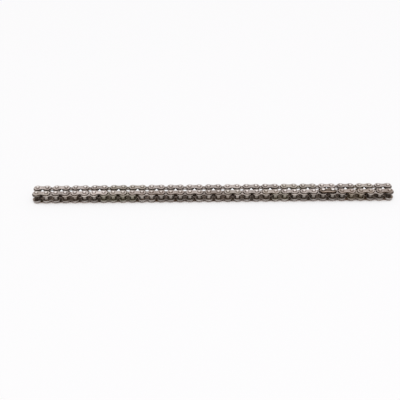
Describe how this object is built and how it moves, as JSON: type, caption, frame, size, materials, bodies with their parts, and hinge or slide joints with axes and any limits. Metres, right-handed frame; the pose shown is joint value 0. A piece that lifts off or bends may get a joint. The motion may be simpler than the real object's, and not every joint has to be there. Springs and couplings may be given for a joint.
{
  "type": "endless drive chain",
  "caption": "Endless bushed drive chain with waisted link plates, riveted pins and a spring-clip connecting link, laid on its side in two straight runs.",
  "frame": {"origin": "under the middle of the flattened loop, on the surface that the lower pin ends stand on", "axes": "+X along the two runs, -Y towards the run with the connecting link, +Z along the pins, towards the spring clip"},
  "size_m": [0.2408, 0.0122, 0.0085],
  "materials": {
    "link_steel": "worn, lightly oiled rolled steel",
    "pin_steel": "ground steel, bright on the ends",
    "clip_steel": "tempered spring steel, golden brown"
  },
  "bodies": {
    "connecting_link": {"connecting_link_back_plate": "link_steel", "connecting_link_pins": "pin_steel", "connecting_link_cover_plate": "link_steel", "connecting_link_spring_clip": "clip_steel"},
    "inner_link_02": {"inner_link_02": "link_steel"},
    "outer_link_03": {"outer_link_03": "link_steel"},
    "inner_link_04": {"inner_link_04": "link_steel"},
    "outer_link_05": {"outer_link_05": "link_steel"},
    "inner_link_06": {"inner_link_06": "link_steel"},
    "outer_link_07": {"outer_link_07": "link_steel"},
    "inner_link_08": {"inner_link_08": "link_steel"},
    "outer_link_09": {"outer_link_09": "link_steel"},
    "inner_link_10": {"inner_link_10": "link_steel"},
    "outer_link_11": {"outer_link_11": "link_steel"},
    "inner_link_12": {"inner_link_12": "link_steel"},
    "outer_link_13": {"outer_link_13": "link_steel"},
    "inner_link_14": {"inner_link_14": "link_steel"},
    "outer_link_15": {"outer_link_15": "link_steel"},
    "inner_link_16": {"inner_link_16": "link_steel"},
    "link_pair_17_18": {"link_pair_17_18": "link_steel"},
    "link_pair_19_20": {"link_pair_19_20": "link_steel"},
    "link_pair_21_22": {"link_pair_21_22": "link_steel"},
    "link_pair_23_24": {"link_pair_23_24": "link_steel"},
    "link_pair_25_26": {"link_pair_25_26": "link_steel"},
    "outer_link_27": {"outer_link_27": "link_steel"},
    "link_pair_28_29": {"link_pair_28_29": "link_steel"},
    "link_pair_30_31": {"link_pair_30_31": "link_steel"},
    "link_pair_32_33": {"link_pair_32_33": "link_steel"},
    "link_pair_34_35": {"link_pair_34_35": "link_steel"},
    "link_pair_36_37": {"link_pair_36_37": "link_steel"},
    "inner_link_38": {"inner_link_38": "link_steel"},
    "outer_link_39": {"outer_link_39": "link_steel"},
    "inner_link_40": {"inner_link_40": "link_steel"},
    "outer_link_41": {"outer_link_41": "link_steel"},
    "inner_link_42": {"inner_link_42": "link_steel"},
    "outer_link_43": {"outer_link_43": "link_steel"},
    "inner_link_44": {"inner_link_44": "link_steel"},
    "outer_link_45": {"outer_link_45": "link_steel"},
    "inner_link_46": {"inner_link_46": "link_steel"},
    "outer_link_47": {"outer_link_47": "link_steel"},
    "inner_link_48": {"inner_link_48": "link_steel"},
    "outer_link_49": {"outer_link_49": "link_steel"},
    "inner_link_50": {"inner_link_50": "link_steel"},
    "outer_link_51": {"outer_link_51": "link_steel"},
    "inner_link_52": {"inner_link_52": "link_steel"},
    "outer_link_53": {"outer_link_53": "link_steel"},
    "inner_link_54": {"inner_link_54": "link_steel"},
    "link_pair_55_56": {"link_pair_55_56": "link_steel"},
    "link_pair_57_58": {"link_pair_57_58": "link_steel"},
    "link_pair_59_60": {"link_pair_59_60": "link_steel"},
    "link_pair_61_62": {"link_pair_61_62": "link_steel"},
    "link_pair_63_64": {"link_pair_63_64": "link_steel"},
    "outer_link_65": {"outer_link_65": "link_steel"},
    "link_pair_66_67": {"link_pair_66_67": "link_steel"},
    "link_pair_68_69": {"link_pair_68_69": "link_steel"},
    "link_pair_70_71": {"link_pair_70_71": "link_steel"},
    "link_pair_72_73": {"link_pair_72_73": "link_steel"},
    "link_pair_74_75": {"link_pair_74_75": "link_steel"},
    "inner_link_76": {"inner_link_76": "link_steel"}
  },
  "joints": [
    {"name": "pin_link_pair_28_29", "type": "hinge", "parent": "outer_link_27", "child": "link_pair_28_29", "pos_m": [-0.00317, 0.00317, 0.0038], "axis": [0, 0, 1], "range_deg": [0, 7.11]},
    {"name": "pin_link_pair_30_31", "type": "hinge", "parent": "link_pair_28_29", "child": "link_pair_30_31", "pos_m": [-0.01588, 0.00317, 0.0038], "axis": [0, 0, 1], "range_deg": [0, 9.47]},
    {"name": "pin_link_pair_32_33", "type": "hinge", "parent": "link_pair_30_31", "child": "link_pair_32_33", "pos_m": [-0.02857, 0.00317, 0.0038], "axis": [0, 0, 1], "range_deg": [0, 9.47]},
    {"name": "pin_link_pair_34_35", "type": "hinge", "parent": "link_pair_32_33", "child": "link_pair_34_35", "pos_m": [-0.04127, 0.00317, 0.0038], "axis": [0, 0, 1], "range_deg": [0, 9.47]},
    {"name": "pin_link_pair_36_37", "type": "hinge", "parent": "link_pair_34_35", "child": "link_pair_36_37", "pos_m": [-0.05398, 0.00317, 0.0038], "axis": [0, 0, 1], "range_deg": [0, 9.47]},
    {"name": "pin_inner_link_38", "type": "hinge", "parent": "link_pair_36_37", "child": "inner_link_38", "pos_m": [-0.06667, 0.00317, 0.0038], "axis": [0, 0, 1], "range_deg": [0, 7.11]},
    {"name": "pin_outer_link_39", "type": "hinge", "parent": "inner_link_38", "child": "outer_link_39", "pos_m": [-0.07303, 0.00317, 0.0038], "axis": [0, 0, 1], "range_deg": [0, 4.74]},
    {"name": "pin_inner_link_40", "type": "hinge", "parent": "outer_link_39", "child": "inner_link_40", "pos_m": [-0.07938, 0.00317, 0.0038], "axis": [0, 0, 1], "range_deg": [0, 4.74]},
    {"name": "pin_outer_link_41", "type": "hinge", "parent": "inner_link_40", "child": "outer_link_41", "pos_m": [-0.08572, 0.00317, 0.0038], "axis": [0, 0, 1], "range_deg": [0, 4.74]},
    {"name": "pin_inner_link_42", "type": "hinge", "parent": "outer_link_41", "child": "inner_link_42", "pos_m": [-0.09208, 0.00317, 0.0038], "axis": [0, 0, 1], "range_deg": [0, 4.74]},
    {"name": "pin_outer_link_43", "type": "hinge", "parent": "inner_link_42", "child": "outer_link_43", "pos_m": [-0.09842, 0.00317, 0.0038], "axis": [0, 0, 1], "range_deg": [0, 4.74]},
    {"name": "pin_inner_link_44", "type": "hinge", "parent": "outer_link_43", "child": "inner_link_44", "pos_m": [-0.10477, 0.00317, 0.0038], "axis": [0, 0, 1], "range_deg": [0, 4.74]},
    {"name": "pin_outer_link_45", "type": "hinge", "parent": "inner_link_44", "child": "outer_link_45", "pos_m": [-0.11113, 0.00317, 0.0038], "axis": [0, 0, 1], "range_deg": [0, 4.74]},
    {"name": "pin_inner_link_46", "type": "hinge", "parent": "outer_link_45", "child": "inner_link_46", "pos_m": [-0.11747, 0.00317, 0.0038], "axis": [0, 0, 1], "range_deg": [-85.26, 0]},
    {"name": "pin_outer_link_47", "type": "hinge", "parent": "inner_link_46", "child": "outer_link_47", "pos_m": [-0.11747, -0.00317, 0.0038], "axis": [0, 0, 1], "range_deg": [-85.26, 0]},
    {"name": "pin_inner_link_48", "type": "hinge", "parent": "outer_link_47", "child": "inner_link_48", "pos_m": [-0.11113, -0.00317, 0.0038], "axis": [0, 0, 1], "range_deg": [0, 4.74]},
    {"name": "pin_outer_link_49", "type": "hinge", "parent": "inner_link_48", "child": "outer_link_49", "pos_m": [-0.10477, -0.00317, 0.0038], "axis": [0, 0, 1], "range_deg": [0, 4.74]},
    {"name": "pin_inner_link_50", "type": "hinge", "parent": "outer_link_49", "child": "inner_link_50", "pos_m": [-0.09842, -0.00317, 0.0038], "axis": [0, 0, 1], "range_deg": [0, 4.74]},
    {"name": "pin_outer_link_51", "type": "hinge", "parent": "inner_link_50", "child": "outer_link_51", "pos_m": [-0.09208, -0.00317, 0.0038], "axis": [0, 0, 1], "range_deg": [0, 4.74]},
    {"name": "pin_inner_link_52", "type": "hinge", "parent": "outer_link_51", "child": "inner_link_52", "pos_m": [-0.08572, -0.00317, 0.0038], "axis": [0, 0, 1], "range_deg": [0, 4.74]},
    {"name": "pin_outer_link_53", "type": "hinge", "parent": "inner_link_52", "child": "outer_link_53", "pos_m": [-0.07938, -0.00317, 0.0038], "axis": [0, 0, 1], "range_deg": [0, 4.74]},
    {"name": "pin_inner_link_54", "type": "hinge", "parent": "outer_link_53", "child": "inner_link_54", "pos_m": [-0.07303, -0.00317, 0.0038], "axis": [0, 0, 1], "range_deg": [0, 4.74]},
    {"name": "pin_link_pair_55_56", "type": "hinge", "parent": "inner_link_54", "child": "link_pair_55_56", "pos_m": [-0.06667, -0.00317, 0.0038], "axis": [0, 0, 1], "range_deg": [0, 7.11]},
    {"name": "pin_link_pair_57_58", "type": "hinge", "parent": "link_pair_55_56", "child": "link_pair_57_58", "pos_m": [-0.05398, -0.00317, 0.0038], "axis": [0, 0, 1], "range_deg": [0, 9.47]},
    {"name": "pin_link_pair_59_60", "type": "hinge", "parent": "link_pair_57_58", "child": "link_pair_59_60", "pos_m": [-0.04127, -0.00317, 0.0038], "axis": [0, 0, 1], "range_deg": [0, 9.47]},
    {"name": "pin_link_pair_61_62", "type": "hinge", "parent": "link_pair_59_60", "child": "link_pair_61_62", "pos_m": [-0.02857, -0.00317, 0.0038], "axis": [0, 0, 1], "range_deg": [0, 9.47]},
    {"name": "pin_link_pair_63_64", "type": "hinge", "parent": "link_pair_61_62", "child": "link_pair_63_64", "pos_m": [-0.01588, -0.00317, 0.0038], "axis": [0, 0, 1], "range_deg": [0, 9.47]},
    {"name": "pin_outer_link_65", "type": "hinge", "parent": "link_pair_63_64", "child": "outer_link_65", "pos_m": [-0.00317, -0.00317, 0.0038], "axis": [0, 0, 1], "range_deg": [0, 7.11]},
    {"name": "pin_link_pair_66_67", "type": "hinge", "parent": "outer_link_65", "child": "link_pair_66_67", "pos_m": [0.00317, -0.00317, 0.0038], "axis": [0, 0, 1], "range_deg": [0, 7.11]},
    {"name": "pin_link_pair_68_69", "type": "hinge", "parent": "link_pair_66_67", "child": "link_pair_68_69", "pos_m": [0.01588, -0.00317, 0.0038], "axis": [0, 0, 1], "range_deg": [0, 9.47]},
    {"name": "pin_link_pair_70_71", "type": "hinge", "parent": "link_pair_68_69", "child": "link_pair_70_71", "pos_m": [0.02857, -0.00317, 0.0038], "axis": [0, 0, 1], "range_deg": [0, 9.47]},
    {"name": "pin_link_pair_72_73", "type": "hinge", "parent": "link_pair_70_71", "child": "link_pair_72_73", "pos_m": [0.04127, -0.00317, 0.0038], "axis": [0, 0, 1], "range_deg": [0, 9.47]},
    {"name": "pin_link_pair_74_75", "type": "hinge", "parent": "link_pair_72_73", "child": "link_pair_74_75", "pos_m": [0.05398, -0.00317, 0.0038], "axis": [0, 0, 1], "range_deg": [0, 9.47]},
    {"name": "pin_inner_link_76", "type": "hinge", "parent": "link_pair_74_75", "child": "inner_link_76", "pos_m": [0.06667, -0.00317, 0.0038], "axis": [0, 0, 1], "range_deg": [0, 7.11]},
    {"name": "loop_opening", "type": "hinge", "parent": "outer_link_27", "child": "link_pair_25_26", "pos_m": [0.00317, 0.00317, 0.0038], "axis": [0, 0, -1], "range_deg": [0, 7.11]},
    {"name": "pin_link_pair_23_24", "type": "hinge", "parent": "link_pair_25_26", "child": "link_pair_23_24", "pos_m": [0.01588, 0.00317, 0.0038], "axis": [0, 0, 1], "range_deg": [-9.47, 0]},
    {"name": "pin_link_pair_21_22", "type": "hinge", "parent": "link_pair_23_24", "child": "link_pair_21_22", "pos_m": [0.02857, 0.00317, 0.0038], "axis": [0, 0, 1], "range_deg": [-9.47, 0]},
    {"name": "pin_link_pair_19_20", "type": "hinge", "parent": "link_pair_21_22", "child": "link_pair_19_20", "pos_m": [0.04127, 0.00317, 0.0038], "axis": [0, 0, 1], "range_deg": [-9.47, 0]},
    {"name": "pin_link_pair_17_18", "type": "hinge", "parent": "link_pair_19_20", "child": "link_pair_17_18", "pos_m": [0.05398, 0.00317, 0.0038], "axis": [0, 0, 1], "range_deg": [-9.47, 0]},
    {"name": "pin_inner_link_16", "type": "hinge", "parent": "link_pair_17_18", "child": "inner_link_16", "pos_m": [0.06667, 0.00317, 0.0038], "axis": [0, 0, 1], "range_deg": [-7.11, 0]},
    {"name": "pin_outer_link_15", "type": "hinge", "parent": "inner_link_16", "child": "outer_link_15", "pos_m": [0.07303, 0.00317, 0.0038], "axis": [0, 0, 1], "range_deg": [-4.74, 0]},
    {"name": "pin_inner_link_14", "type": "hinge", "parent": "outer_link_15", "child": "inner_link_14", "pos_m": [0.07938, 0.00317, 0.0038], "axis": [0, 0, 1], "range_deg": [-4.74, 0]},
    {"name": "pin_outer_link_13", "type": "hinge", "parent": "inner_link_14", "child": "outer_link_13", "pos_m": [0.08572, 0.00317, 0.0038], "axis": [0, 0, 1], "range_deg": [-4.74, 0]},
    {"name": "pin_inner_link_12", "type": "hinge", "parent": "outer_link_13", "child": "inner_link_12", "pos_m": [0.09208, 0.00317, 0.0038], "axis": [0, 0, 1], "range_deg": [-4.74, 0]},
    {"name": "pin_outer_link_11", "type": "hinge", "parent": "inner_link_12", "child": "outer_link_11", "pos_m": [0.09842, 0.00317, 0.0038], "axis": [0, 0, 1], "range_deg": [-4.74, 0]},
    {"name": "pin_inner_link_10", "type": "hinge", "parent": "outer_link_11", "child": "inner_link_10", "pos_m": [0.10477, 0.00317, 0.0038], "axis": [0, 0, 1], "range_deg": [-4.74, 0]},
    {"name": "pin_outer_link_09", "type": "hinge", "parent": "inner_link_10", "child": "outer_link_09", "pos_m": [0.11113, 0.00317, 0.0038], "axis": [0, 0, 1], "range_deg": [-4.74, 0]},
    {"name": "pin_inner_link_08", "type": "hinge", "parent": "outer_link_09", "child": "inner_link_08", "pos_m": [0.11747, 0.00317, 0.0038], "axis": [0, 0, 1], "range_deg": [0, 85.26]},
    {"name": "pin_outer_link_07", "type": "hinge", "parent": "inner_link_08", "child": "outer_link_07", "pos_m": [0.11747, -0.00317, 0.0038], "axis": [0, 0, 1], "range_deg": [0, 85.26]},
    {"name": "pin_inner_link_06", "type": "hinge", "parent": "outer_link_07", "child": "inner_link_06", "pos_m": [0.11113, -0.00317, 0.0038], "axis": [0, 0, 1], "range_deg": [-4.74, 0]},
    {"name": "pin_outer_link_05", "type": "hinge", "parent": "inner_link_06", "child": "outer_link_05", "pos_m": [0.10477, -0.00317, 0.0038], "axis": [0, 0, 1], "range_deg": [-4.74, 0]},
    {"name": "pin_inner_link_04", "type": "hinge", "parent": "outer_link_05", "child": "inner_link_04", "pos_m": [0.09842, -0.00317, 0.0038], "axis": [0, 0, 1], "range_deg": [-4.74, 0]},
    {"name": "pin_outer_link_03", "type": "hinge", "parent": "inner_link_04", "child": "outer_link_03", "pos_m": [0.09208, -0.00317, 0.0038], "axis": [0, 0, 1], "range_deg": [-4.74, 0]},
    {"name": "pin_inner_link_02", "type": "hinge", "parent": "outer_link_03", "child": "inner_link_02", "pos_m": [0.08572, -0.00317, 0.0038], "axis": [0, 0, 1], "range_deg": [-4.74, 0]},
    {"name": "pin_connecting_link", "type": "hinge", "parent": "inner_link_02", "child": "connecting_link", "pos_m": [0.07938, -0.00317, 0.0038], "axis": [0, 0, 1], "range_deg": [-4.74, 0]}
  ],
  "couplings": [
    {"joint": "pin_link_pair_28_29", "follows": "loop_opening", "ratio": 1},
    {"joint": "pin_link_pair_30_31", "follows": "loop_opening", "ratio": 1.3333},
    {"joint": "pin_link_pair_32_33", "follows": "loop_opening", "ratio": 1.3333},
    {"joint": "pin_link_pair_34_35", "follows": "loop_opening", "ratio": 1.3333},
    {"joint": "pin_link_pair_36_37", "follows": "loop_opening", "ratio": 1.3333},
    {"joint": "pin_inner_link_38", "follows": "loop_opening", "ratio": 1},
    {"joint": "pin_outer_link_39", "follows": "loop_opening", "ratio": 0.66667},
    {"joint": "pin_inner_link_40", "follows": "loop_opening", "ratio": 0.66667},
    {"joint": "pin_outer_link_41", "follows": "loop_opening", "ratio": 0.66667},
    {"joint": "pin_inner_link_42", "follows": "loop_opening", "ratio": 0.66667},
    {"joint": "pin_outer_link_43", "follows": "loop_opening", "ratio": 0.66667},
    {"joint": "pin_inner_link_44", "follows": "loop_opening", "ratio": 0.66667},
    {"joint": "pin_outer_link_45", "follows": "loop_opening", "ratio": 0.66667},
    {"joint": "pin_inner_link_46", "follows": "loop_opening", "ratio": -12},
    {"joint": "pin_outer_link_47", "follows": "loop_opening", "ratio": -12},
    {"joint": "pin_inner_link_48", "follows": "loop_opening", "ratio": 0.66667},
    {"joint": "pin_outer_link_49", "follows": "loop_opening", "ratio": 0.66667},
    {"joint": "pin_inner_link_50", "follows": "loop_opening", "ratio": 0.66667},
    {"joint": "pin_outer_link_51", "follows": "loop_opening", "ratio": 0.66667},
    {"joint": "pin_inner_link_52", "follows": "loop_opening", "ratio": 0.66667},
    {"joint": "pin_outer_link_53", "follows": "loop_opening", "ratio": 0.66667},
    {"joint": "pin_inner_link_54", "follows": "loop_opening", "ratio": 0.66667},
    {"joint": "pin_link_pair_55_56", "follows": "loop_opening", "ratio": 1},
    {"joint": "pin_link_pair_57_58", "follows": "loop_opening", "ratio": 1.3333},
    {"joint": "pin_link_pair_59_60", "follows": "loop_opening", "ratio": 1.3333},
    {"joint": "pin_link_pair_61_62", "follows": "loop_opening", "ratio": 1.3333},
    {"joint": "pin_link_pair_63_64", "follows": "loop_opening", "ratio": 1.3333},
    {"joint": "pin_outer_link_65", "follows": "loop_opening", "ratio": 1},
    {"joint": "pin_link_pair_66_67", "follows": "loop_opening", "ratio": 1},
    {"joint": "pin_link_pair_68_69", "follows": "loop_opening", "ratio": 1.3333},
    {"joint": "pin_link_pair_70_71", "follows": "loop_opening", "ratio": 1.3333},
    {"joint": "pin_link_pair_72_73", "follows": "loop_opening", "ratio": 1.3333},
    {"joint": "pin_link_pair_74_75", "follows": "loop_opening", "ratio": 1.3333},
    {"joint": "pin_inner_link_76", "follows": "loop_opening", "ratio": 1},
    {"joint": "pin_link_pair_23_24", "follows": "loop_opening", "ratio": -1.3333},
    {"joint": "pin_link_pair_21_22", "follows": "loop_opening", "ratio": -1.3333},
    {"joint": "pin_link_pair_19_20", "follows": "loop_opening", "ratio": -1.3333},
    {"joint": "pin_link_pair_17_18", "follows": "loop_opening", "ratio": -1.3333},
    {"joint": "pin_inner_link_16", "follows": "loop_opening", "ratio": -1},
    {"joint": "pin_outer_link_15", "follows": "loop_opening", "ratio": -0.66667},
    {"joint": "pin_inner_link_14", "follows": "loop_opening", "ratio": -0.66667},
    {"joint": "pin_outer_link_13", "follows": "loop_opening", "ratio": -0.66667},
    {"joint": "pin_inner_link_12", "follows": "loop_opening", "ratio": -0.66667},
    {"joint": "pin_outer_link_11", "follows": "loop_opening", "ratio": -0.66667},
    {"joint": "pin_inner_link_10", "follows": "loop_opening", "ratio": -0.66667},
    {"joint": "pin_outer_link_09", "follows": "loop_opening", "ratio": -0.66667},
    {"joint": "pin_inner_link_08", "follows": "loop_opening", "ratio": 12},
    {"joint": "pin_outer_link_07", "follows": "loop_opening", "ratio": 12},
    {"joint": "pin_inner_link_06", "follows": "loop_opening", "ratio": -0.66667},
    {"joint": "pin_outer_link_05", "follows": "loop_opening", "ratio": -0.66667},
    {"joint": "pin_inner_link_04", "follows": "loop_opening", "ratio": -0.66667},
    {"joint": "pin_outer_link_03", "follows": "loop_opening", "ratio": -0.66667},
    {"joint": "pin_inner_link_02", "follows": "loop_opening", "ratio": -0.66667},
    {"joint": "pin_connecting_link", "follows": "loop_opening", "ratio": -0.66667}
  ]
}
